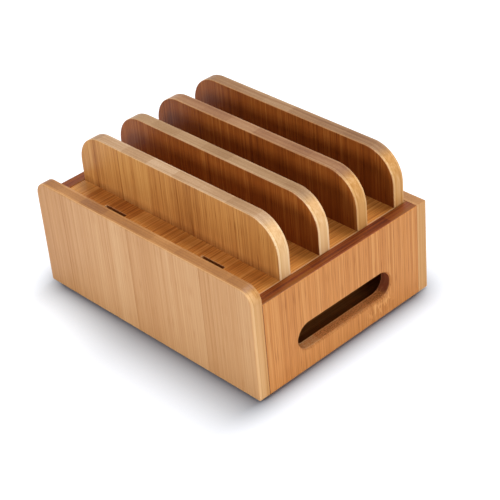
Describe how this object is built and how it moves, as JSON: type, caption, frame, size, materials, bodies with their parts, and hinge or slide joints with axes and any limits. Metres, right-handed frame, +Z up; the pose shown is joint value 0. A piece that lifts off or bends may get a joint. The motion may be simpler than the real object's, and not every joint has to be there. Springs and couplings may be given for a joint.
{
  "type": "charging station organizer",
  "caption": "Bamboo desk charging organizer: a low box with cable openings and a lift-off lid that carries upright dividers.",
  "frame": {"origin": "on the table, under the middle of the box", "axes": "+X along the long walls, +Y from the tall front wall to the back wall, +Z up"},
  "size_m": [0.17, 0.13, 0.089],
  "materials": {
    "bamboo_box": "satin",
    "bamboo_lid": "satin",
    "hardwood_dowel": "matte",
    "zinc_screw": "satin",
    "rubber_foot": "matte"
  },
  "bodies": {
    "box": {"front_wall": "bamboo_box", "back_wall": "bamboo_box", "left_end_wall": "bamboo_box", "right_end_wall": "bamboo_box", "bottom_panel": "bamboo_box", "left_lid_ledge": "bamboo_box", "right_lid_ledge": "bamboo_box", "front_left_lower_dowel": "hardwood_dowel", "front_left_upper_dowel": "hardwood_dowel", "front_right_lower_dowel": "hardwood_dowel", "front_right_upper_dowel": "hardwood_dowel", "back_left_lower_dowel": "hardwood_dowel", "back_left_upper_dowel": "hardwood_dowel", "back_right_lower_dowel": "hardwood_dowel", "back_right_upper_dowel": "hardwood_dowel", "front_left_foot": "rubber_foot", "front_right_foot": "rubber_foot", "back_left_foot": "rubber_foot", "back_right_foot": "rubber_foot"},
    "lid": {"lid_panel": "bamboo_lid", "divider_1": "bamboo_lid", "divider_2": "bamboo_lid", "divider_3": "bamboo_lid", "divider_4": "bamboo_lid", "divider_1_left_screw": "zinc_screw", "divider_1_right_screw": "zinc_screw", "divider_2_left_screw": "zinc_screw", "divider_2_right_screw": "zinc_screw", "divider_3_left_screw": "zinc_screw", "divider_3_right_screw": "zinc_screw", "divider_4_left_screw": "zinc_screw", "divider_4_right_screw": "zinc_screw"}
  },
  "joints": [
    {"name": "lid_lift", "type": "slide", "parent": "box", "child": "lid", "axis": [0, 0, 1], "range_m": [0, 0.04]}
  ]
}
